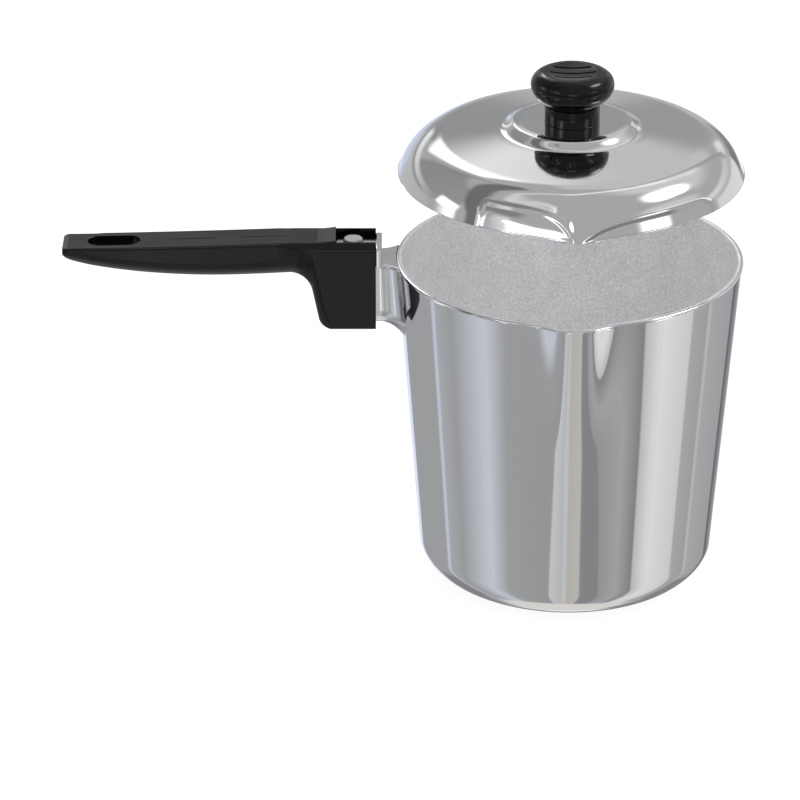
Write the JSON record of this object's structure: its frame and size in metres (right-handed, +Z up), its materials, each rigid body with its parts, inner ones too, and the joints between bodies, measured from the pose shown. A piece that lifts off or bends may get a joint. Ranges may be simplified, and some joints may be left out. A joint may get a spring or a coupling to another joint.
{
  "type": "saucepan",
  "caption": "Deep tapered saucepan with pouring lips, a straight handle bolted to a flared bracket, and a domed lid with matching tips and a round knob, shown lifted off.",
  "frame": {"origin": "centre of the pan's flat base", "axes": "+Z up along the pan's axis, +X away from the handle, +Y to the rear pouring lip"},
  "size_m": [0.3444, 0.1908, 0.2708],
  "materials": {
    "pan_metal": "polished outside, matte grey inside",
    "bracket_metal": "polished",
    "grip_plastic": "satin moulded phenolic",
    "nut_steel": "turned",
    "screw_steel": "plated",
    "lid_metal": "polished",
    "knob_plastic": "glossy moulded phenolic",
    "bush_brass": "turned"
  },
  "bodies": {
    "pan": {"pan_shell": "pan_metal", "handle_bracket": "bracket_metal", "handle_grip": "grip_plastic", "handle_nut": "nut_steel", "handle_washer": "screw_steel", "handle_screw": "screw_steel"},
    "lid": {"lid_shell": "lid_metal", "lid_knob": "knob_plastic", "knob_insert": "bush_brass", "knob_washer": "screw_steel", "knob_screw": "screw_steel"}
  },
  "joints": [
    {"name": "lid_lift", "type": "slide", "parent": "pan", "child": "lid", "axis": [0, 0, 1], "range_m": [-0.0463, 0.1]}
  ]
}
